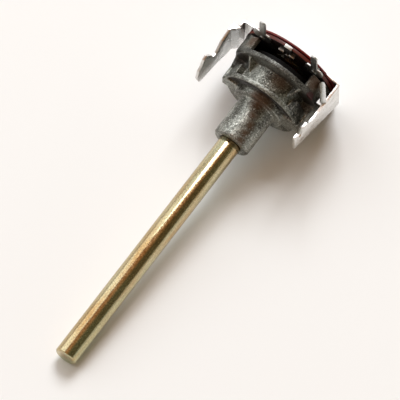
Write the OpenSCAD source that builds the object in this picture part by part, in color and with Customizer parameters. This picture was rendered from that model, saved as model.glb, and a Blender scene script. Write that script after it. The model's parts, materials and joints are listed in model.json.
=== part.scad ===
// Rotary potentiometer with a die-cast zinc front, a long plain shaft and a steel strap with two legs.
// Shaft axis on X with its free end at -X, solder lugs toward +Z, origin on the mounting face.
// All sizes in millimetres.

/* [Shaft] */
// radius of the shaft outside the bushing
shaft_r = 3.0;       // [2.5:0.05:3.2]
// length of shaft standing out of the bushing
shaft_out = 70.6;    // [20:0.5:90]
// chamfer on the free end
shaft_chamfer = 0.3; // [0.2:0.1:0.8]
// radius of the journal running in the bushing
journal_r = 2.8;     // [2.5:0.05:2.85]
// radius of the turned-down rear end
tail_r = 2.2;        // [1.9:0.1:2.3]

/* [Front casting] */
// outside radius of the bushing
bush_r = 5.1;        // [4.8:0.1:6.0]
// length of the bushing in front of the mounting face
bush_len = 12.8;     // [6:0.2:16]
// gap between journal and bushing bore, on the radius
run_gap = 0.07;      // [0.03:0.01:0.10]
// radius of the flange
flange_r = 11.2;     // [10.8:0.1:12.0]
// radius of the flange below the ears
flange_low_r = 10.3; // [9.8:0.1:10.8]
// thickness of the flange
flange_t = 1.25;     // [1.15:0.05:1.5]
// radius of the drum behind the flange
drum_r = 8.9;        // [8.6:0.1:9.4]
// outside radius of the rear shell
body_r = 13.1;       // [12.9:0.1:14.5]
// place of the front face of the ledge
ledge_x = 6.45;      // [6.2:0.05:7.0]
// thickness of the ledge
ledge_t = 1.25;      // [1.0:0.05:1.5]
// depth of the shell behind the ledge
shell_len = 4.6;     // [4.4:0.1:6.5]
// wall of the rear shell
shell_wall = 1.2;    // [0.9:0.1:1.4]
// half angle of the lug window
window_half = 41;    // [34:1:42]

/* [Wafers] */
// how far the wafers stand out past the shell
wafer_over = 0.2;    // [0.1:0.05:0.3]
// thickness of the track wafer
wafer_t = 0.85;      // [0.6:0.05:1.2]
// gap between the two wafers
wafer_gap = 0.4;     // [0.35:0.05:0.6]
// thickness of the back wafer
back_t = 0.5;        // [0.4:0.05:1.0]
// middle radius of the carbon track
track_r = 9.2;       // [8.8:0.1:9.4]
// width of the carbon track
track_w = 2.4;       // [1.8:0.1:2.6]

/* [Lugs] */
// thickness of the lug sheet
lug_t = 0.45;        // [0.3:0.05:0.6]
// distance of the outer lugs from the middle
lug_pitch = 7.9;     // [7.7:0.1:8.2]
// height of the outer lug tips above the axis
lug_top = 19.6;      // [16:0.2:22]
// width of a lug stem
stem_w = 1.85;       // [1.2:0.05:2.0]

/* [Strap] */
// thickness of the strap steel
strap_t = 0.7;       // [0.5:0.05:0.8]
// clear gap between wafer rim and the near leg
leg_gap = 0.5;       // [0.5:0.05:0.9]
// outward step of the far leg
leg_step = 1.3;      // [1.0:0.1:2.0]
// how far the legs reach in front of the mounting face
leg_reach = 4.8;     // [4.6:0.1:6.0]

/* [Rotor] */
// radius of the rotor disc
rotor_r = 10.4;      // [10.0:0.1:10.8]
// thickness of the rotor disc
rotor_t = 1.4;       // [1.2:0.1:1.5]
// reach of the stop tongue
tongue_r = 7.0;      // [6.7:0.1:7.1]

/* [Hidden] */
$fn = 96;
zinc = [0.55, 0.56, 0.56];
passivated = [0.72, 0.63, 0.30];
bright_steel = [0.80, 0.80, 0.80];
tinned = [0.72, 0.72, 0.72];
srbp = [0.42, 0.16, 0.10];
carbon = [0.08, 0.08, 0.08];
brass = [0.75, 0.62, 0.30];
bronze = [0.70, 0.50, 0.30];
phenolic = [0.10, 0.08, 0.07];
paper = [0.55, 0.45, 0.35];

bore_r = journal_r + run_gap;
shaft_end = -bush_len - shaft_out;
boss_r = bush_r + 2.1;
boss_h = 1.3;
drum_floor = 1.6;
cavity_r = drum_r - 1.4;
ledge_back = ledge_x + ledge_t;
shell_back = ledge_back + shell_len;
shell_in = body_r - shell_wall;
wafer_r = body_r + wafer_over;
wafer_back = shell_back + wafer_t;
back_x = wafer_back + wafer_gap;
strap_x = back_x + back_t;
lug_x = shell_back - lug_t;
film_t = 0.1;
stop_half = 29;
ear_half = 1.9;
leg_near = wafer_r + leg_gap;
far_bend = wafer_r + 2.2;
leg_foot = -(wafer_r + 0.1);
bend_in = 0.5;
far_leg = far_bend + leg_step;
clip_x = drum_floor + 0.7;
clip_t = 0.5;
clip_groove_r = 2.3;
stop_x = clip_x + clip_t + 0.3;
stop_t = 1.0;
rotor_x = ledge_back + 0.5;
hub_r = 4.2;
hub_t = rotor_t + 0.6;
tail_end = rotor_x + hub_t + 0.35;
flat_y = tail_r - 0.55;
brush_r = 0.8;
spring_t = 0.25;
spring_x = rotor_x + rotor_t;
ring_r = 4.7;
ring_w = 1.8;
rivet_z = 9.55;
mid_z = 8.6;
eps = 0.02;
// reach of a cutting shape, larger than any piece
reach = 40;
// height of the near leg's upper edge and of the tab and finger on it
near_top = body_r - 7.2;
// height at which the middle lug folds back over the wafers
fold_z = wafer_r + 0.3;

// a flat shape drawn in Y and Z, pushed along X from x0
module slab(x0, t) {
    translate([x0, 0, 0]) rotate([90, 0, 90]) linear_extrude(t) children();
}

// a round shape turned about the shaft axis, drawn as radius against X
module turned() {
    rotate([90, 0, 90]) rotate_extrude() children();
}

// a sector of angle a0 to a1, measured from +Z toward +Y, reaching past every piece
module sector(a0, a1) {
    am = (a0 + a1) / 2;
    polygon([[0, 0], reach * [sin(a0), cos(a0)], 1.4 * reach * [sin(am), cos(am)],
             reach * [sin(a1), cos(a1)]]);
}

// everything above the height z0
module above(z0, half = reach) {
    translate([-half, z0]) square([2 * half, reach]);
}

module ring(ro, ri) {
    difference() {
        circle(ro);
        circle(ri);
    }
}

module d_tail(x0, len, grow) {
    slab(x0, len) intersection() {
        circle(tail_r + grow);
        translate([0, -tail_r + flat_y + grow]) square([3 * tail_r, 2 * tail_r + eps], center = true);
    }
}

// ---- fixed pieces ----

module housing_outline() {
    lip = 0.5;
    turned() polygon([
        [0, -bush_len], [bush_r - 0.45, -bush_len], [bush_r, -bush_len + lip],
        [bush_r, -boss_h], [boss_r - 0.15, -boss_h], [boss_r, 0], [flange_r, 0],
        [flange_r, flange_t], [drum_r, flange_t], [drum_r, ledge_x], [body_r, ledge_x],
        [body_r, shell_back], [0, shell_back]]);
}

module side_parts() {
    ear_y = flange_r + 0.5;
    block_x = 4.2;
    wall_half = 2.6;
    rib_half = 0.35;
    rib_angle = 41;
    for (s = [-1, 1]) {
        // ear of the flange, run back over the thick part
        slab(0, block_x + 0.4) translate([s * (ear_y - 1.5), 0]) square([3, 2 * ear_half], center = true);
        // thick part of the flange behind the ear
        slab(flange_t - 0.3, block_x - flange_t + 0.3) intersection() {
            ring(flange_r - 0.2, drum_r - 0.4);
            sector(s * 52, s * 100);
        }
        // sloping side wall from the ear to the shell
        translate([0, 0, -wall_half]) linear_extrude(2 * wall_half)
            polygon([[block_x - 0.3, s * (drum_r - 0.3)], [block_x - 0.3, s * (ear_y - 0.05)],
                     [ledge_x + 0.4, s * (body_r - 0.9)], [ledge_back + 0.6, s * (body_r - 0.3)],
                     [ledge_back + 0.6, s * (shell_in + 0.1)], [ledge_x, s * (drum_r - 0.3)]]);
        // thin rib in the corner of drum and ledge
        rotate([90 - s * rib_angle, 0, 0]) linear_extrude(2 * rib_half, center = true)
            polygon([[3.6, drum_r - 0.4], [3.6, drum_r + 0.45], [ledge_x + 0.2, body_r - 1.0],
                     [ledge_x + 0.2, drum_r - 0.4]]);
    }
}

module housing() color(zinc) {
    recess_in = boss_r + 0.05;
    recess_out = flange_r - 0.65;
    recess_z = 2.5;
    difference() {
        union() {
            difference() {
                housing_outline();
                // flats on the ledge beside the side walls
                for (s = [-1, 1])
                    translate([ledge_x - eps, s * (body_r + 0.1) - 1, -body_r])
                        cube([ledge_t, 2, 2 * body_r]);
            }
            side_parts();
        }
        // bore with an opened mouth
        turned() polygon([[0, -bush_len - 1], [bore_r + 0.35, -bush_len - 1], [bore_r + 0.35, -bush_len],
                          [bore_r, -bush_len + 0.35], [bore_r, drum_floor + eps], [0, drum_floor + eps]]);
        // room in the drum, leaving the stop rib at the top
        slab(drum_floor, ledge_back - drum_floor + eps) difference() {
            circle(cavity_r);
            intersection() {
                ring(cavity_r + 1, 5.5);
                sector(-stop_half, stop_half);
            }
        }
        // room in the shell
        slab(ledge_back, shell_len + eps) circle(shell_in);
        // window for the lugs
        slab(ledge_back, shell_len + eps) intersection() {
            ring(body_r + 1, shell_in - 1);
            sector(-window_half, window_half);
        }
        // lower rim behind the outer lugs
        slab(lug_x - 0.35, 2) above(6.6, 11.8);
        // flange drawn in below the ears
        slab(-eps, flange_t + 2 * eps) difference() {
            ring(flange_r + 2, flange_low_r);
            above(-ear_half);
        }
        // casting recess round the upper half of the front face
        slab(-eps, 1.0) intersection() {
            ring(recess_out, recess_in);
            above(recess_z);
        }
    }
}

// side view of a leg, drawn as X against Z; both have a sloping lower edge and a hooked tip
module leg_outline(far) {
    front = -leg_reach;
    back = strap_x + strap_t;
    polygon(far ?
        [[back, -6.5], [back, 6.0], [9.6, 7.6], [6.4, 6.6], [5.0, 5.0], [3.7, 3.5], [2.6, 3.7],
         [1.3, 7.2], [-0.5, 10.4], [-1.6, 9.8], [-2.6, 7.6], [-3.8, 6.6], [front + 0.2, 3.2],
         [-3.9, -0.2], [-3.0, -0.9], [2.1, -2.4], [5.1, -3.6], [7.7, -5.1], [11.4, -6.5]] :
        [[back, -6.6], [back, near_top], [3.0, near_top], [1.2, 6.6], [0.2, 8.6], [-1.6, 8.8],
         [-2.6, 6.2], [-3.4, 6.2], [-3.7, 8.7], [front - 0.4, 8.9], [front - 0.6, 2.6]]);
}

// corner of the folded sheet in plan, with its centre at the origin and its legs toward -X and +Y
module fold_corner() {
    intersection() {
        ring(bend_in + strap_t, bend_in);
        translate([0, -2 * strap_t - bend_in]) square([3 * strap_t, 2 * strap_t + bend_in]);
    }
}

// the strap seen from above: back plate, straight near leg, stepped far leg
module strap_plan() {
    x1 = strap_x + strap_t;
    bend_out = bend_in + strap_t;
    near_y = -leg_near - strap_t;
    tip = -leg_reach - 2;
    translate([strap_x, near_y + bend_out]) square([strap_t, far_bend - near_y - 2 * bend_out]);
    translate([x1 - bend_out, near_y + bend_out]) fold_corner();
    translate([x1 - bend_out, far_bend - bend_out]) mirror([0, 1]) fold_corner();
    translate([tip, near_y]) square([x1 - bend_out - tip, strap_t]);
    polygon([[x1 - bend_out, far_bend - strap_t], [x1 - bend_out, far_bend], [strap_x - 2.2, far_bend],
             [strap_x - 3.8, far_leg], [tip, far_leg], [tip, far_leg - strap_t],
             [strap_x - 4.1, far_leg - strap_t], [strap_x - 2.5, far_bend - strap_t]]);
}

module strap_half(side) {
    intersection() {
        translate([0, 0, -reach]) linear_extrude(2 * reach) strap_plan();
        translate([0, side > 0 ? reach : 0, 0]) rotate([90, 0, 0])
            linear_extrude(reach) leg_outline(side > 0);
    }
}

module bracket() color(bright_steel) {
    finger_w = 1.7;
    finger_t = 0.5;
    finger_l = 4.3;
    foot_half = 12.5;
    union() {
        strap_half(-1);
        strap_half(1);
        // foot of the back plate
        slab(strap_x, strap_t) translate([-foot_half, leg_foot]) square([2 * foot_half, -5 - leg_foot]);
        // small corner folded out flat over the step of the far leg
        translate([0, 0, 6.5]) linear_extrude(0.5)
            polygon([[9.2, far_leg - 0.05], [11.9, far_leg - 0.05], [11.9, far_bend - 1.2]]);
        // short tab folded inward off the near leg
        translate([6.9, -leg_near - 0.35, near_top - finger_t]) cube([2.3, 1.75, finger_t]);
        // finger leaning back over the edge of the track wafer
        translate([8.3, -leg_near - 0.35, near_top - 0.15]) rotate([0, 0, 40]) rotate([38, -21, 0]) {
            cube([finger_l, finger_w, finger_t]);
            translate([finger_l, finger_w / 2, 0]) cylinder(r = finger_w / 2, h = finger_t, $fn = 48);
        }
    }
}

module track_wafer() color(srbp) slab(shell_back, wafer_t) difference() {
    circle(wafer_r);
    circle(3.4);
    for (s = [-1, 1]) translate([s * lug_pitch, rivet_z]) circle(0.5);
    translate([0.2, mid_z]) circle(0.5);
}

module spacer() color(paper) slab(wafer_back, wafer_gap) ring(7.4, 4.4);

module back_wafer() color(srbp) slab(back_x, back_t) ring(wafer_r - 0.05, 3.4);

module carbon_track() color(carbon) slab(shell_back - film_t, film_t) difference() {
    ring(track_r + track_w / 2, track_r - track_w / 2);
    sector(-31, 31);
}

module collector_ring() color(brass) slab(shell_back - film_t, film_t)
    ring(ring_r + ring_w / 2, ring_r - ring_w / 2);

// outline of an outer lug: round base about the height z0, cut straight above, and a narrow stem
module lug_shape(z0) {
    base_r = 2.75;
    intersection() {
        translate([0, z0]) circle(base_r);
        translate([-base_r - 1, z0 - base_r - 1]) square([2 * base_r + 2, base_r + 2.8]);
    }
    translate([-stem_w / 2, z0]) square([stem_w, lug_top - z0 - stem_w / 2]);
    translate([0, lug_top - stem_w / 2]) circle(stem_w / 2);
}

module outer_lug(s, z0) {
    difference() {
        slab(lug_x, lug_t) translate([s * lug_pitch, 0]) lug_shape(z0);
        slab(lug_x - 1, lug_t + 2) translate([s * lug_pitch, rivet_z]) circle(0.5);
    }
}

module lug_left() color(tinned) outer_lug(1, 11.1);
module lug_right() color(tinned) outer_lug(-1, 10.6);

module lug_middle() color(tinned) {
    lug_foot = ring_r + ring_w / 2 + eps;
    claw_z = 10.6;
    strip_w = 2.1;
    fold_len = 0.95;
    difference() {
        union() {
            slab(lug_x, lug_t) {
                translate([-0.9, lug_foot]) square([strip_w, fold_z - lug_foot]);
                translate([-1.9, claw_z - 1.1]) square([4.6, 1.1]);
            }
            // rolled ends of the shoulders
            for (y0 = [-1.95, 1.25])
                translate([lug_x, y0, claw_z - 0.35]) rotate([-90, 0, 0]) cylinder(r = 0.35, h = 1.5, $fn = 32);
            // top folded back over the wafers
            translate([lug_x, -0.9, fold_z - eps]) cube([fold_len, strip_w, lug_t]);
        }
        slab(lug_x - 1, lug_t + 2) translate([0.2, mid_z]) circle(0.5);
    }
}

module tube_rivet(y0, z0) {
    len = lug_t + wafer_t;
    translate([0, y0, z0]) turned() polygon([
        [0, lug_x - 0.15], [0.85, lug_x - 0.15], [0.85, lug_x - eps / 2], [0.48, lug_x - eps / 2],
        [0.48, lug_x + len + eps / 2], [0.8, lug_x + len + eps / 2], [0.8, lug_x + len + 0.3],
        [0, lug_x + len + 0.3]]);
}

module rivet_left() color(tinned) tube_rivet(lug_pitch, rivet_z);
module rivet_middle() color(tinned) tube_rivet(0.2, mid_z);
module rivet_right() color(tinned) tube_rivet(-lug_pitch, rivet_z);

// ---- pieces that turn ----

module shaft() color(passivated) {
    difference() {
        turned() polygon([
            [0, shaft_end], [shaft_r - shaft_chamfer, shaft_end], [shaft_r, shaft_end + shaft_chamfer],
            [shaft_r, -bush_len - 0.1], [journal_r, -bush_len], [journal_r, clip_x],
            [clip_groove_r, clip_x], [clip_groove_r, clip_x + clip_t], [journal_r, clip_x + clip_t],
            [journal_r, stop_x], [tail_r, stop_x], [tail_r, tail_end], [0, tail_end]]);
        // flat on the tail that drives the stop plate and the disc
        translate([stop_x, -tail_r - 1, flat_y]) cube([tail_end - stop_x + 1, 2 * tail_r + 2, 2]);
    }
}

module thrust_washer() color(brass) slab(drum_floor + 0.1, 0.5) ring(4.8, journal_r + 0.03);

module shaft_clip() color(bright_steel) slab(clip_x + 0.02, clip_t - 0.04) difference() {
    circle(4.4);
    circle(clip_groove_r + 0.02);
    translate([0, -5]) square([2 * clip_groove_r * 0.86, 10], center = true);
}

module stop_plate() color(bright_steel) difference() {
    slab(stop_x + 0.02, stop_t) {
        circle(4.6);
        translate([0, -tongue_r / 2 - 1.2]) square([2.2, tongue_r - 2.4], center = true);
    }
    d_tail(stop_x - 1, stop_t + 2, 0.02);
}

module rotor_disc() color(phenolic) difference() {
    union() {
        slab(rotor_x, rotor_t) circle(rotor_r);
        slab(rotor_x, hub_t) circle(hub_r);
    }
    d_tail(rotor_x - 1, hub_t + 2, 0.02);
}

module wiper_spring() color(bronze) {
    arm_x = spring_x + 1.0;
    arm_w = 2.6;
    difference() {
        union() {
            slab(spring_x, spring_t) ring(7.4, hub_r + 0.05);
            // riser and arm that carry the track brush
            translate([spring_x, -arm_w / 2, -7.3]) cube([arm_x - spring_x + spring_t, arm_w, spring_t]);
            translate([arm_x, -arm_w / 2, -10.2]) cube([spring_t, arm_w, 3.1]);
            // riser and arm that carry the ring contact
            translate([spring_x, 1.6, -5.9]) cube([arm_x - spring_x + spring_t, 1.8, spring_t]);
            translate([arm_x, 1.6, -5.9]) cube([spring_t, 1.8, 2.2]);
        }
        slab(arm_x - 0.2, 1) translate([0, -track_r]) circle(0.4);
    }
}

module track_brush() color(carbon) {
    seat = spring_x + 1.0 + spring_t;
    slab(seat, shell_back - film_t - 0.03 - seat) translate([0, -track_r]) circle(brush_r);
    slab(seat - spring_t - 0.1, spring_t + 0.1 + eps) translate([0, -track_r]) circle(0.38);
}

module ring_contact() color(brass) {
    seat = spring_x + 1.0 + spring_t;
    slab(seat, shell_back - film_t - 0.03 - seat) translate([2.4, -4.1]) circle(0.55);
}

housing();
bracket();
track_wafer();
spacer();
back_wafer();
carbon_track();
collector_ring();
lug_left();
lug_middle();
lug_right();
rivet_left();
rivet_middle();
rivet_right();
shaft();
thrust_washer();
shaft_clip();
stop_plate();
rotor_disc();
wiper_spring();
track_brush();
ring_contact();
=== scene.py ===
"""Looks of a rotary potentiometer: die-cast front, yellow-passivated shaft, two wafers, tinned lugs and strap."""

import json
import math

import bmesh
import bpy
from bpy.props import FloatProperty, FloatVectorProperty, IntProperty, PointerProperty
from mathutils import Matrix, Vector


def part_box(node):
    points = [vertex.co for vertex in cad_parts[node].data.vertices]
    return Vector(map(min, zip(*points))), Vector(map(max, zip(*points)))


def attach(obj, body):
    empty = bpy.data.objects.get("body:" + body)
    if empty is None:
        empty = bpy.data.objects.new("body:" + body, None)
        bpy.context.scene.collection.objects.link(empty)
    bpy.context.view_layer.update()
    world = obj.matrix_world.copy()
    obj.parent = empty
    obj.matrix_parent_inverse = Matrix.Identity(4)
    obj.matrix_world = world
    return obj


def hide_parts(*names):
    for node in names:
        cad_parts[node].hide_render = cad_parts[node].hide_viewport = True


bl_info = {
    "name": "Rotary potentiometer",
    "version": (1, 0, 0),
    "blender": (4, 5, 0),
    "location": "3D View > Sidebar > Potentiometer",
    "description": "Builds the looks of a panel-mount rotary potentiometer on its CAD frame",
    "category": "Object",
}

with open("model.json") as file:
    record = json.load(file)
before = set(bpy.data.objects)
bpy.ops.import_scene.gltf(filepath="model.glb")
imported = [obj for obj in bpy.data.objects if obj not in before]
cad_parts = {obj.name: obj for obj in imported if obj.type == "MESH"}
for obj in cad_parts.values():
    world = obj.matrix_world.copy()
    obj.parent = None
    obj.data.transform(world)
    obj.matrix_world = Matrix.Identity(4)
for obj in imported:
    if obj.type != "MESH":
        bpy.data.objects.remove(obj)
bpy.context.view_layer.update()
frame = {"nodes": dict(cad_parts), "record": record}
MM = 0.001
SLOT_OF = {part["node"]: part["material_slot"] for part in frame["record"]["subparts"]}
BODY_OF = {node: body for body, nodes in frame["record"]["behaviour"]["bodies"].items() for node in nodes}

# Places on the casting, in millimetres in the part's frame. Spots are (centre, radius, softness).
STAINS = (
    ((-0.9, -1.0, 6.6), 3.0, 1.4),
    ((-2.2, -0.6, 5.1), 1.3, 1.0),
    ((-4.8, -1.4, 4.9), 1.1, 1.0),
    ((-7.4, -2.2, 4.6), 1.2, 1.0),
    ((-9.8, -2.4, 4.5), 1.1, 1.0),
    ((-12.0, -2.5, 4.4), 1.2, 1.0),
    ((5.4, -2.9, 8.4), 1.8, 1.6),
    ((10.0, 9.4, 8.9), 1.6, 1.2),
    ((10.0, -9.8, 8.6), 2.0, 1.4),
    ((5.6, 9.0, 6.2), 1.4, 1.4),
)
# Spots of painted shade, partly stain, in the two side pockets of the casting, which lie in shadow; and a small dark
# spot where the shaft enters the bushing.
SHADE_AND_DIRT_SPOTS = (
    ((5.4, 10.4, 4.6), 3.0, 1.4),
    ((5.4, -10.6, 5.2), 3.2, 1.2),
    ((-12.8, 0, 3.3), 0.5, 0.5),
)
LACQUER_SPOT = ((6.5, -10.8, 7.8), 1.2, 0.3)
# Painted shade: the recess in the flange, the ledge and the inside of the shell, bounded by these, are darkened as
# if in shadow.
RECESS_DEPTH = (0.25, 0.8)  # x where the recess's painted shade begins and where it is darkest
RECESS_FLOOR = 1.15  # x just past the recess's floor
RECESS_RIM = (10.75, 10.45)  # radius outside and inside the rim
LEDGE_FRONT = (6.1, 6.6)
LEDGE_BACK = (8.2, 7.7)
SHELL_FRONT = 7.85  # x where the hollow shell begins
SHELL_INSIDE = (12.3, 12.0)  # radius in the wall and inside it

# painted shade: the stepped leg is drawn greyer than the rest of the strap, as it lies in shade
SHADED_LEG = ((4.0, 16.4, 3.0), 9.0, 3.0)
TRACK_FACE = 12.3  # x of the wafer's face that carries the track

MOTTLE = (0.3, 0.7)  # the values that most of a noise lies between

# the stage, in metres
LIGHT_REACH = 2.5  # from the part to the lights
LIGHT_TINT = (0.92, 0.96, 1.0)
FLOOR_SIZE = 5.0
FLOOR_GAP = 0.03 * MM  # keeps the floor just clear of the part
TOE = (0.5 * MM, -3.0 * MM)  # where the shaft rests: x from its free end, and z of its underside
SENSOR_MM = 36
CLIP = (0.01, 20)


# ---- settings ----


def to_linear(code):
    """sRGB hex to the linear colour that Blender's nodes take."""
    parts = [int(code[i : i + 2], 16) / 255 for i in (1, 3, 5)]
    return tuple(p / 12.92 if p <= 0.04045 else ((p + 0.055) / 1.055) ** 2.4 for p in parts)


def colour(name, description, code):
    return FloatVectorProperty(
        name=name, description=description, subtype="COLOR", size=3, min=0, max=1, default=to_linear(code)
    )


def length(name, description, mm, low=0.0, high=1.0):
    return FloatProperty(
        name=name, description=description, unit="LENGTH", default=mm * MM, min=low * MM, max=high * MM, precision=5
    )


def degrees(name, description, value):
    return FloatProperty(name=name, description=description, subtype="ANGLE", default=math.radians(value))


def metres(name, description, value):
    return FloatProperty(name=name, description=description, unit="LENGTH", default=value)


def level(name, description, value):
    return FloatProperty(name=name, description=description, default=value, min=0)


class PotEdges(bpy.types.PropertyGroup):
    sheet: length("Sheet edges", "Rounding left on punched sheet edges by the tool", 0.09, 0.02, 0.2)
    turned: length("Turned edges", "Rounding on the edges of the turned shaft", 0.06, 0.02, 0.2)
    wafer: length("Wafer edges", "Rounding on the punched wafer edges", 0.05, 0.02, 0.15)
    cast_grain: length("Casting grain", "Grid size that rounds the casting's edges and corners", 0.22, 0.2, 0.6)
    cast_smooth: IntProperty(
        name="Casting smoothing", description="Passes that soften the casting", default=1, min=1, max=12
    )


class PotColours(bpy.types.PropertyGroup):
    zinc: colour("Zinc", "Die-cast zinc, dull from age", "#96978F")
    zinc_dark: colour("Dark zinc", "Oxidised patches of the casting", "#585750")
    # painted glint: these bright flecks stand in for the sparkle of the skin's grain
    glint_fleck: colour("Zinc crystals", "Bright crystals in the casting's skin", "#DCDCD4")
    stain: colour("Stain", "Old oil and flux on the casting", "#4E3114")
    lacquer: colour("Lacquer", "Spot of dark red locking lacquer", "#3C1210")
    # this near-black darkens the pores, and paints shade in the casting's hollows
    grime_and_shade: colour("Grime", "Dirt in hollows", "#1A1613")
    gold: colour("Passivation", "Yellow chromate film on the shaft", "#CBC5A2")
    green_gold: colour("Green passivation", "Where the chromate film is thin", "#C0C39C")
    amber: colour("Amber passivation", "Where the chromate film is thick", "#B48A54")
    tin: colour("Tin", "Bright tin plating of the strap", "#E9E7E4")
    solder: colour("Hot tin", "Hot-tinned lugs", "#B4B3B0")
    wafer_front: colour("Track wafer", "Resin-bonded paper, cut edge", "#60271B")
    wafer_back: colour("Back wafer", "Resin-bonded paper, redder sheet", "#7A1C17")
    paper: colour("Spacer", "Pressed paper", "#4A372A")


class PotStage(bpy.types.PropertyGroup):
    azimuth: degrees("Azimuth", "Where the camera stands", -54.2)
    elevation: degrees("Elevation", "Camera height angle", 69)
    distance: metres("Distance", "Camera to object", 4.0)
    view_width: metres("View width", "Width that the camera sees at the object", 0.1005)
    right: metres("Right", "Origin to the picture's centre, across", 0.01508)
    up: metres("Up", "Origin to the picture's centre, upwards", 0.02387)
    floor: colour("Floor", "Matt white card", "#F2F2F1")
    key_power: level("Window", "Power of the window light, in watts", 52.0)
    fill_power: level("Fill", "Power of the fill light, in watts", 14.0)
    room: level("Room", "Strength of the room's light", 0.85)


# ---- nodes ----


def add(tree, kind, sockets=None, **settings):
    """Adds one node. settings are its properties, sockets its inputs: each a value, or an output to link."""
    made = tree.nodes.new(kind)
    for key, value in settings.items():
        setattr(made, key, value)
    for key, value in (sockets or {}).items():
        if isinstance(value, bpy.types.NodeSocket):
            tree.links.new(value, made.inputs[key])
        else:
            made.inputs[key].default_value = value
    return made


def start(name):
    """A new material with its tree, its shader and the piece's own coordinates in metres."""
    material = bpy.data.materials.new(name)
    material.use_nodes = True
    tree = material.node_tree
    shader = tree.nodes["Principled BSDF"]
    where = add(tree, "ShaderNodeTexCoord").outputs["Object"]
    return material, tree, shader, where


def per_metre(size_mm):
    """A texture scale whose features are about size_mm across."""
    return 1000 / size_mm


def rgba(c):
    return (c[0], c[1], c[2], 1)


def scaled(span_mm):
    """A pair of lengths in millimetres as metres."""
    return tuple(mm * MM for mm in span_mm)


def math_of(tree, operation, *values):
    """One arithmetic step on numbers or outputs."""
    return add(tree, "ShaderNodeMath", dict(enumerate(values)), operation=operation).outputs[0]


def remap(tree, value, span, low=0.0, high=1.0, ease="LINEAR"):
    """value taken from span to low..high, and held at both ends."""
    sockets = {"Value": value, "From Min": span[0], "From Max": span[1], "To Min": low, "To Max": high}
    return add(tree, "ShaderNodeMapRange", sockets, interpolation_type=ease).outputs["Result"]


def noise(tree, where, size_mm, detail, roughness=0.5):
    """Cloudy noise with features about size_mm across."""
    sockets = {"Vector": where, "Scale": per_metre(size_mm), "Detail": detail, "Roughness": roughness}
    return add(tree, "ShaderNodeTexNoise", sockets).outputs["Fac"]


def stretched(tree, where, scale):
    """The piece's coordinates scaled, so that noise on them is drawn out where scale is small."""
    return add(tree, "ShaderNodeMapping", {"Vector": where, "Scale": scale}).outputs[0]


def spot(tree, where, place):
    """1 inside a ragged ball, falling to 0 outside it. place is (centre, radius, softness) in millimetres."""
    centre, radius, soft = place
    sockets = {0: where, 1: Vector(centre) * MM}
    away = add(tree, "ShaderNodeVectorMath", sockets, operation="DISTANCE").outputs["Value"]
    span = scaled((radius + soft, max(radius - soft, 0)))
    return remap(tree, away, span, ease="SMOOTHSTEP")


def ragged(tree, where, size_mm, reach_mm):
    """The piece's coordinates pushed about by noise, so that what is drawn on them has ragged edges."""
    sockets = {"Vector": where, "Scale": per_metre(size_mm), "Detail": 3.0}
    cloud = add(tree, "ShaderNodeTexNoise", sockets).outputs["Color"]
    centred = add(tree, "ShaderNodeVectorMath", {0: cloud, 1: (0.5, 0.5, 0.5)}, operation="SUBTRACT").outputs[0]
    pushed = add(tree, "ShaderNodeVectorMath", {0: centred, 3: 2 * reach_mm * MM}, operation="SCALE").outputs[0]
    return add(tree, "ShaderNodeVectorMath", {0: where, 1: pushed}, operation="ADD").outputs[0]


def largest(tree, values):
    """The largest of several masks."""
    top = values[0]
    for other in values[1:]:
        top = math_of(tree, "MAXIMUM", top, other)
    return top


def blend(tree, factor, a, b, mode="MIX"):
    """Colour a turning into colour b by factor."""
    return add(tree, "ShaderNodeMix", {0: factor, 6: a, 7: b}, data_type="RGBA", blend_type=mode).outputs[2]


def rough_by(tree, shader, pattern, low, high):
    """Roughness that runs from low to high with a pattern."""
    tree.links.new(remap(tree, pattern, MOTTLE, low, high), shader.inputs["Roughness"])


def bumped(tree, shader, height, amount, depth_mm):
    """Relief of depth_mm from a height."""
    sockets = {"Strength": amount, "Distance": depth_mm * MM, "Height": height}
    normal = add(tree, "ShaderNodeBump", sockets).outputs["Normal"]
    tree.links.new(normal, shader.inputs["Normal"])


# ---- materials ----


def painted_hollow_shade(tree, where):
    """Masks of painted shade: the cast recess, the ledge and the inside of the shell, which lie in shadow."""
    axes = add(tree, "ShaderNodeSeparateXYZ", {0: where}).outputs
    flat = add(tree, "ShaderNodeCombineXYZ", {1: axes[1], 2: axes[2]}).outputs[0]
    radius = add(tree, "ShaderNodeVectorMath", {0: flat}, operation="LENGTH").outputs["Value"]
    deep = remap(tree, axes[0], scaled(RECESS_DEPTH))
    in_front = math_of(tree, "LESS_THAN", axes[0], RECESS_FLOOR * MM)
    in_rim = remap(tree, radius, scaled(RECESS_RIM))
    recess = math_of(tree, "MULTIPLY", math_of(tree, "MULTIPLY", deep, in_front), in_rim)
    near = remap(tree, axes[0], scaled(LEDGE_FRONT))
    far = remap(tree, axes[0], scaled(LEDGE_BACK))
    ledge = math_of(tree, "MULTIPLY", math_of(tree, "MULTIPLY", near, far), 0.7)
    behind = math_of(tree, "GREATER_THAN", axes[0], SHELL_FRONT * MM)
    within = remap(tree, radius, scaled(SHELL_INSIDE))
    shell = math_of(tree, "MULTIPLY", behind, within)
    return [recess, ledge, shell]


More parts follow.
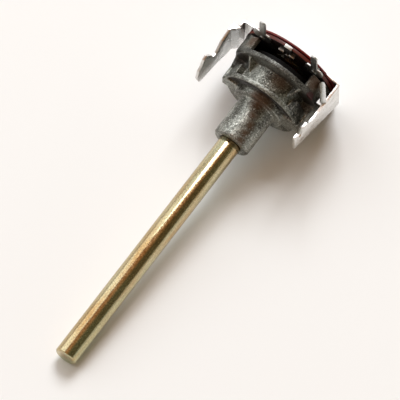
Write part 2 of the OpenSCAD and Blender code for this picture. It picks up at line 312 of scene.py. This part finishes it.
def cast_zinc(c):
    """Pressure die-cast zinc alloy, left as cast: dull silver-grey skin with small pits and painted glints on its
    grain.
    Handling and soldering have left brown oil and flux stains; the hollows are painted dark as shade, partly stained
    in the side pockets."""
    material, tree, shader, where = start("die_cast_zinc")
    loose = ragged(tree, where, 2.5, 1.0)
    # oxide clouds a few millimetres across
    clouded = remap(tree, noise(tree, where, 3.5, 5.0, 0.6), (0.4, 0.62))
    skin = blend(tree, clouded, rgba(c.zinc), rgba(c.zinc_dark))
    # grain of the skin, drawn 0.55 mm across; the real one is finer and would not show
    grain = noise(tree, where, 0.55, 3.0, 0.8)
    skin = blend(tree, 1.0, skin, remap(tree, grain, MOTTLE, 0.3, 1.75), "MULTIPLY")
    # painted glints: bright flecks that stand in for the sparkle of the skin's grain; and dark pores; both drawn 0.4
    # mm across to show
    fleck = noise(tree, where, 0.4, 1.0)
    skin = blend(tree, remap(tree, fleck, (0.6, 0.68), 0.0, 0.65), skin, rgba(c.glint_fleck))
    skin = blend(tree, remap(tree, fleck, (0.4, 0.33), 0.0, 0.6), skin, rgba(c.grime_and_shade))
    # oil and flux
    stains = largest(tree, [spot(tree, loose, place) for place in STAINS])
    stained = math_of(tree, "MULTIPLY", stains, 0.85)
    skin = blend(tree, stained, skin, rgba(c.stain))
    # painted shade in the recess, on the ledge, inside the shell and in the side pockets, there partly stain; a dark
    # spot where the shaft enters the bushing; and the spot of lacquer
    shaded_pockets = painted_hollow_shade(tree, where) + [spot(tree, loose, place) for place in SHADE_AND_DIRT_SPOTS]
    shade_and_dirt = math_of(tree, "MULTIPLY", largest(tree, shaded_pockets), 0.88)
    skin = blend(tree, shade_and_dirt, skin, rgba(c.grime_and_shade))
    spilt = spot(tree, loose, LACQUER_SPOT)
    skin = blend(tree, spilt, skin, rgba(c.lacquer))
    tree.links.new(skin, shader.inputs["Base Color"])
    # metal shows through clean skin; the oil, the painted shade and stain of the hollows, and the lacquer are not
    # drawn as metal
    covered = largest(tree, [stained, shade_and_dirt, spilt])
    tree.links.new(remap(tree, covered, (0.0, 1.0), 0.8, 0.25), shader.inputs["Metallic"])
    rough_by(tree, shader, grain, 0.3, 0.55)
    # pits of the mould skin
    pits = add(tree, "ShaderNodeTexVoronoi", {"Vector": where, "Scale": per_metre(0.8), "Randomness": 1.0})
    pit = remap(tree, pits.outputs["Distance"], (0.05, 0.28))
    bumped(tree, shader, math_of(tree, "ADD", pit, grain), 0.7, 0.1)
    return material


def passivated_steel(c):
    """Free-cutting steel, turned, zinc plated and yellow passivated: glossy, with a film that drifts from
    straw through green to amber, and faint drawing marks along it."""
    material, tree, shader, where = start("yellow_passivated_steel")
    along = stretched(tree, where, (0.16, 1.0, 1.0))
    amber = remap(tree, noise(tree, along, 3.0, 4.0, 0.55), (0.32, 0.72))
    film = blend(tree, amber, rgba(c.gold), rgba(c.amber))
    # a second, unlike drift: the same noise taken elsewhere in its fourth dimension
    sockets = {"Vector": along, "Scale": per_metre(5.0), "Detail": 3.0, "W": 3.0}
    drift = add(tree, "ShaderNodeTexNoise", sockets, noise_dimensions="4D").outputs["Fac"]
    film = blend(tree, remap(tree, drift, (0.52, 0.7)), film, rgba(c.green_gold))
    # fine mottling of the plating, drawn 0.35 mm across
    mottle = noise(tree, where, 0.35, 3.0)
    film = blend(tree, 1.0, film, remap(tree, mottle, MOTTLE, 0.7, 1.2), "MULTIPLY")
    tree.links.new(film, shader.inputs["Base Color"])
    shader.inputs["Metallic"].default_value = 1.0
    rough_by(tree, shader, mottle, 0.12, 0.24)
    # drawing marks: long along the shaft and 0.2 mm apart round it
    lines = noise(tree, stretched(tree, where, (0.02, 1.0, 1.0)), 0.2, 2.0)
    bumped(tree, shader, lines, 0.2, 0.02)
    return material


def tinned_strip(c):
    """Tin-plated steel strip, punched and folded: bright, slightly wavy, with rolling lines and grey rubs."""
    material, tree, shader, where = start("tinned_steel_strip")
    rub = noise(tree, where, 2.2, 6.0, 0.65)
    worn = remap(tree, rub, (0.5, 0.75), 0.0, 0.4)
    # painted shade on the stepped leg, drawn as a grey patch
    leg_shade = math_of(tree, "MULTIPLY", spot(tree, where, SHADED_LEG), 0.45)
    skin = blend(tree, largest(tree, [worn, leg_shade]), rgba(c.tin), rgba(c.zinc))
    tree.links.new(skin, shader.inputs["Base Color"])
    shader.inputs["Metallic"].default_value = 1.0
    rough_by(tree, shader, rub, 0.2, 0.42)
    # rolling lines along the strip, 0.3 mm apart, and a slow waviness
    lines = noise(tree, stretched(tree, where, (0.08, 0.08, 1.0)), 0.3, 2.0)
    wave = noise(tree, where, 4.0, 1.0)
    bumped(tree, shader, math_of(tree, "MULTIPLY_ADD", wave, 6.0, lines), 0.2, 0.03)
    return material


def hot_tin(c):
    """Brass lugs dipped in molten tin: soft grey sheen, a lumpy skin and duller patches."""
    material, tree, shader, where = start("hot_tinned_brass")
    lumps = noise(tree, where, 0.9, 4.0)
    dull = remap(tree, lumps, (0.35, 0.7), 0.0, 0.6)
    tree.links.new(blend(tree, dull, rgba(c.solder), rgba(c.zinc)), shader.inputs["Base Color"])
    shader.inputs["Metallic"].default_value = 1.0
    rough_by(tree, shader, lumps, 0.26, 0.46)
    bumped(tree, shader, lumps, 0.35, 0.05)
    return material


def bonded_paper(name, base, dark, ply_mm, shaded_face_mm=None):
    """Phenolic resin-bonded paper, punched: satin faces, and a cut edge that shows its brown plies as fine lines."""
    material, tree, shader, where = start(name)
    fibre = noise(tree, where, 1.2, 6.0, 0.7)
    along = add(tree, "ShaderNodeSeparateXYZ", {0: where}).outputs[0]
    # plies lie across the shaft; drawn ply_mm thick, since the real ones are too thin to show
    ply = math_of(tree, "SINE", math_of(tree, "MULTIPLY", along, 2 * math.pi / (ply_mm * MM)))
    mixed = math_of(tree, "MULTIPLY_ADD", ply, 0.18, fibre)
    sheet = blend(tree, remap(tree, mixed, (0.3, 0.8)), rgba(base), rgba(dark))
    if shaded_face_mm is not None:
        # painted shade: the face that carries the track is darkened near-black, as it lies in deep shade
        face_shade = remap(tree, along, scaled((shaded_face_mm + 0.08, shaded_face_mm + 0.02)))
        sheet = blend(tree, face_shade, sheet, rgba(to_linear("#1C1412")))
    tree.links.new(sheet, shader.inputs["Base Color"])
    rough_by(tree, shader, fibre, 0.3, 0.5)
    shader.inputs["IOR"].default_value = 1.55
    shader.inputs["Specular IOR Level"].default_value = 0.3
    bumped(tree, shader, mixed, 0.25, 0.03)
    return material


def plain_metal(name, light, dark, low, high, size_mm):
    """Rolled or punched metal of the hidden pieces: even satin with slight clouding."""
    material, tree, shader, where = start(name)
    cloud = noise(tree, where, size_mm, 4.0)
    skin = blend(tree, cloud, rgba(to_linear(light)), rgba(to_linear(dark)))
    tree.links.new(skin, shader.inputs["Base Color"])
    shader.inputs["Metallic"].default_value = 1.0
    rough_by(tree, shader, cloud, low, high)
    return material


def dull_solid(name, light, dark, rough, size_mm):
    """Moulded, pressed or printed non-metal of the inner pieces: matt, with fine mottling."""
    material, tree, shader, where = start(name)
    cloud = noise(tree, where, size_mm, 4.0)
    tree.links.new(blend(tree, cloud, rgba(light), rgba(dark)), shader.inputs["Base Color"])
    shader.inputs["Roughness"].default_value = rough
    shader.inputs["Specular IOR Level"].default_value = 0.15
    bumped(tree, shader, cloud, 0.2, 0.02)
    return material


def solid_of(name, light, dark, rough, size_mm):
    return lambda c: dull_solid(name, to_linear(light), to_linear(dark), rough, size_mm)


def metal_of(*looks):
    return lambda c: plain_metal(*looks)


def finish_of(slot):
    """The material for a slot of the record, made once."""
    if slot not in FINISHES:
        FINISHES[slot] = MAKERS[slot](bpy.context.scene.pot_colours)
    return FINISHES[slot]


FINISHES = {}
MAKERS = {
    "zinc": cast_zinc,
    "passivated_steel": passivated_steel,
    "strap_steel": tinned_strip,
    "tinned": hot_tin,
    "srbp_front": lambda c: bonded_paper(
        "resin_bonded_paper_brown", c.wafer_front, to_linear("#43211A"), 0.28, TRACK_FACE
    ),
    "srbp_back": lambda c: bonded_paper("resin_bonded_paper_red", c.wafer_back, to_linear("#481216"), 0.25),
    "paper": lambda c: dull_solid("pressed_paper", c.paper, to_linear("#2E2119"), 0.85, 0.6),
    "carbon_film": solid_of("carbon_resistance_film", "#2A2A2C", "#151517", 0.55, 0.5),
    "phenolic": solid_of("moulded_phenolic", "#0B0807", "#060404", 0.7, 0.4),
    "carbon": solid_of("pressed_carbon", "#242424", "#101010", 0.6, 0.3),
    "silvered_brass": metal_of("silvered_brass", "#D9D2BE", "#A89C7A", 0.25, 0.45, 1.5),
    "brass": metal_of("rolled_brass", "#D2B26A", "#A07F3F", 0.25, 0.4, 1.5),
    "bronze": metal_of("phosphor_bronze", "#C89468", "#94603A", 0.25, 0.4, 1.5),
    "spring_steel": metal_of("oiled_spring_steel", "#8D8E90", "#5C5D60", 0.3, 0.5, 1.2),
}


# ---- shapes ----


def copied(name):
    """A merged copy of a CAD node in millimetres, with its flat faces joined up."""
    bm = bmesh.new()
    bm.from_mesh(frame["nodes"][name].data)
    bmesh.ops.scale(bm, vec=(1 / MM,) * 3, verts=bm.verts)
    bmesh.ops.remove_doubles(bm, verts=bm.verts, dist=1e-4)
    bmesh.ops.dissolve_limit(
        bm, angle_limit=math.radians(0.3), use_dissolve_boundaries=False, verts=bm.verts, edges=bm.edges
    )
    bmesh.ops.recalc_face_normals(bm, faces=bm.faces)
    return bm


def rounded(bm, width, segments, sharp=30):
    """Rounds every edge sharper than sharp degrees."""
    hard = [e for e in bm.edges if e.is_manifold and e.calc_face_angle(0) > math.radians(sharp)]
    bmesh.ops.bevel(
        bm,
        geom=hard,
        offset=width / MM,
        offset_type="OFFSET",
        segments=segments,
        profile=0.5,
        affect="EDGES",
        clamp_overlap=True,
        material=-1,
    )


def placed(name, bm, node, sharp=40):
    """Turns a bmesh in millimetres into the piece that stands for a CAD node."""
    bmesh.ops.scale(bm, vec=(MM,) * 3, verts=bm.verts)
    for face in bm.faces:
        face.smooth = True
    mesh = bpy.data.meshes.new(name)
    bm.to_mesh(mesh)
    bm.free()
    mesh.set_sharp_from_angle(angle=math.radians(sharp))
    dressed(bpy.data.objects.new(name, mesh), node)


def dressed(piece, node):
    """Links a finished piece, gives it its finish, and lets it ride and stand for its CAD node."""
    bpy.context.scene.collection.objects.link(piece)
    piece.data.materials.clear()
    piece.data.materials.append(finish_of(SLOT_OF[node]))
    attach(piece, BODY_OF[node])
    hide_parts(node)


def finish_node(name):
    """Gives a CAD node that stays as it is its finish."""
    piece = frame["nodes"][name]
    piece.data.materials.clear()
    piece.data.materials.append(finish_of(SLOT_OF[name]))


# ---- stage ----


def build_floor(scene, stage):
    """A matt white card under the part as it lies, on the strap's lower edge and the shaft's free end."""
    strap_low, strap_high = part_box("bracket")
    shaft_low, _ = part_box("shaft")
    heel = Vector((strap_high.x, 0, strap_low.z))
    toe = Vector((shaft_low.x + TOE[0], 0, TOE[1]))
    slope = math.atan2(toe.z - heel.z, heel.x - toe.x)
    bm = bmesh.new()
    bmesh.ops.create_grid(bm, x_segments=8, y_segments=8, size=FLOOR_SIZE)
    tilt = Matrix.Translation(heel - Vector((0, 0, FLOOR_GAP))) @ Matrix.Rotation(slope, 4, "Y")
    bmesh.ops.transform(bm, matrix=tilt, verts=bm.verts)
    mesh = bpy.data.meshes.new("floor")
    bm.to_mesh(mesh)
    bm.free()
    floor = bpy.data.objects.new("floor", mesh)
    scene.collection.objects.link(floor)
    card, tree, shader, where = start("matt_white_card")
    bumped(tree, shader, noise(tree, where, 1.5, 4.0), 0.12, 0.1)
    shader.inputs["Base Color"].default_value = rgba(stage.floor)
    shader.inputs["Roughness"].default_value = 0.95
    shader.inputs["Specular IOR Level"].default_value = 0.1
    floor.data.materials.append(card)


def build_lights(scene, stage):
    """Two soft lights: the window behind the lugs, and a wider, weaker one to the stepped leg's side."""
    aim = Vector((-0.02, 0, 0))
    for name, watts, size, toward in (
        ("window", stage.key_power, 1.2, (0.66, 0.30, 0.69)),
        ("fill", stage.fill_power, 2.2, (0.0, 0.75, 0.66)),
    ):
        light = bpy.data.lights.new(name, "AREA")
        light.shape = "SQUARE"
        light.size = size
        light.energy = watts
        light.color = LIGHT_TINT
        pane = bpy.data.objects.new(name, light)
        pane.location = aim + LIGHT_REACH * Vector(toward)
        pane.rotation_mode = "QUATERNION"
        pane.rotation_quaternion = (aim - pane.location).to_track_quat("-Z", "Y")
        scene.collection.objects.link(pane)


def build_room(scene, stage):
    """Bright low down and on the window's side, darker and warm overhead and away from it."""
    world = bpy.data.worlds.new("room")
    world.use_nodes = True
    tree = world.node_tree
    way = add(tree, "ShaderNodeTexCoord").outputs["Generated"]
    axes = add(tree, "ShaderNodeSeparateXYZ", {0: way}).outputs
    high = remap(tree, axes[2], (0.15, 0.4), ease="SMOOTHSTEP")
    away = remap(tree, axes[1], (0.44, 0.3), ease="SMOOTHSTEP")
    dark = math_of(tree, "MULTIPLY", high, away)
    far = remap(tree, axes[1], (0.0, -0.35))
    ceiling = blend(tree, far, rgba(to_linear("#C59267")), rgba(to_linear("#6C674E")))
    sky = blend(tree, dark, rgba(to_linear("#FAFAF8")), ceiling)
    back = tree.nodes["Background"]
    tree.links.new(sky, back.inputs["Color"])
    back.inputs["Strength"].default_value = stage.room
    scene.world = world


def build_camera(scene, stage):
    """A long lens, so that the view is nearly parallel."""
    a, e = stage.azimuth, stage.elevation
    toward = Vector((math.sin(a) * math.cos(e), -math.cos(a) * math.cos(e), math.sin(e)))
    across = Vector((math.cos(a), math.sin(a), 0))
    upward = toward.cross(across)
    lens = bpy.data.cameras.new("camera")
    lens.sensor_width = SENSOR_MM
    lens.lens = lens.sensor_width * stage.distance / stage.view_width
    lens.clip_start, lens.clip_end = CLIP
    camera = bpy.data.objects.new("camera", lens)
    place = toward * stage.distance - across * stage.right - upward * stage.up
    turn = Matrix((across, upward, toward)).transposed().to_4x4()
    camera.matrix_world = Matrix.Translation(place) @ turn
    scene.collection.objects.link(camera)
    scene.camera = camera


# ---- operators ----


class POT_OT_casting(bpy.types.Operator):
    """The die-cast front: rounded everywhere like a casting, by a fine grid and smoothing"""

    bl_idname = "pot.casting"
    bl_label = "Die-cast front"

    def execute(self, context):
        edges = context.scene.pot_edges
        bm = copied("housing")
        mesh = bpy.data.meshes.new("die_cast_front")
        bm.to_mesh(mesh)
        bm.free()
        rough = bpy.data.objects.new("die_cast_front_rough", mesh)
        context.scene.collection.objects.link(rough)
        grid = rough.modifiers.new("grid", "REMESH")
        grid.mode = "VOXEL"
        grid.voxel_size = edges.cast_grain / MM
        soft = rough.modifiers.new("soft", "SMOOTH")
        soft.factor = 0.5
        soft.iterations = edges.cast_smooth
        context.view_layer.update()
        shaped = bpy.data.meshes.new_from_object(rough.evaluated_get(context.evaluated_depsgraph_get()))
        bpy.data.objects.remove(rough)
        bm = bmesh.new()
        bm.from_mesh(shaped)
        placed("die_cast_front", bm, "housing", sharp=180)
        return {"FINISHED"}


class POT_OT_strap(bpy.types.Operator):
    """The folded steel strap, with the small rounding that punching leaves"""

    bl_idname = "pot.strap"
    bl_label = "Strap"

    def execute(self, context):
        bm = copied("bracket")
        rounded(bm, context.scene.pot_edges.sheet, 2)
        placed("strap", bm, "bracket")
        return {"FINISHED"}


class POT_OT_wafers(bpy.types.Operator):
    """The two resin-bonded paper wafers and the paper spacer between them"""

    bl_idname = "pot.wafers"
    bl_label = "Wafers and spacer"

    def execute(self, context):
        for node in ("track_wafer", "back_wafer", "spacer"):
            bm = copied(node)
            rounded(bm, context.scene.pot_edges.wafer, 2)
            placed(node + "_punched", bm, node)
        return {"FINISHED"}


class POT_OT_lugs(bpy.types.Operator):
    """The three hot-tinned lugs, with tin drawn round over their edges, and their rivets"""

    bl_idname = "pot.lugs"
    bl_label = "Lugs and rivets"

    def execute(self, context):
        for side in ("left", "middle", "right"):
            bm = copied("lug_" + side)
            rounded(bm, context.scene.pot_edges.sheet, 3)
            placed(f"lug_{side}_tinned", bm, "lug_" + side)
            finish_node("rivet_" + side)
        return {"FINISHED"}


class POT_OT_shaft(bpy.types.Operator):
    """The turned shaft, with its edges just broken"""

    bl_idname = "pot.shaft"
    bl_label = "Shaft"

    def execute(self, context):
        bm = copied("shaft")
        rounded(bm, context.scene.pot_edges.turned, 2, sharp=25)
        placed("shaft_turned", bm, "shaft", sharp=30)
        return {"FINISHED"}


class POT_OT_inner(bpy.types.Operator):
    """The pieces inside the casting, which keep their CAD shapes"""

    bl_idname = "pot.inner"
    bl_label = "Inner pieces"

    def execute(self, context):
        for node in (
            "carbon_track",
            "collector_ring",
            "thrust_washer",
            "shaft_clip",
            "stop_plate",
            "rotor_disc",
            "wiper_spring",
            "track_brush",
            "ring_contact",
        ):
            finish_node(node)
        return {"FINISHED"}


class POT_OT_stage(bpy.types.Operator):
    """A pale floor under the part as it lies, two soft lights, a quiet room and the camera"""

    bl_idname = "pot.stage"
    bl_label = "Stage"

    def execute(self, context):
        scene = context.scene
        for build in (build_floor, build_lights, build_room, build_camera):
            build(scene, scene.pot_stage)
        scene.view_settings.view_transform = "Standard"
        return {"FINISHED"}


class POT_PT_panel(bpy.types.Panel):
    """Lists the potentiometer's steps and settings"""

    bl_idname = "POT_PT_panel"
    bl_label = "Potentiometer"
    bl_space_type = "VIEW_3D"
    bl_region_type = "UI"
    bl_category = "Potentiometer"

    def draw(self, context):
        for step in STEPS:
            self.layout.operator(step.bl_idname)
        for group in (context.scene.pot_edges, context.scene.pot_colours, context.scene.pot_stage):
            for key in group.bl_rna.properties.keys():
                if key not in ("rna_type", "name"):
                    self.layout.prop(group, key)


STEPS = (POT_OT_casting, POT_OT_strap, POT_OT_wafers, POT_OT_lugs, POT_OT_shaft, POT_OT_inner, POT_OT_stage)
GROUPS = {"pot_edges": PotEdges, "pot_colours": PotColours, "pot_stage": PotStage}


def register():
    for group in GROUPS.values():
        bpy.utils.register_class(group)
    for key, group in GROUPS.items():
        setattr(bpy.types.Scene, key, PointerProperty(type=group))
    for step in STEPS:
        bpy.utils.register_class(step)
    bpy.utils.register_class(POT_PT_panel)


def unregister():
    bpy.utils.unregister_class(POT_PT_panel)
    for step in reversed(STEPS):
        bpy.utils.unregister_class(step)
    for key in GROUPS:
        delattr(bpy.types.Scene, key)
    for group in reversed(GROUPS.values()):
        bpy.utils.unregister_class(group)


def main():
    register()
    for step in (
        bpy.ops.pot.casting,
        bpy.ops.pot.strap,
        bpy.ops.pot.wafers,
        bpy.ops.pot.lugs,
        bpy.ops.pot.shaft,
        bpy.ops.pot.inner,
        bpy.ops.pot.stage,
    ):
        step()


if __name__ == "__main__":
    main()
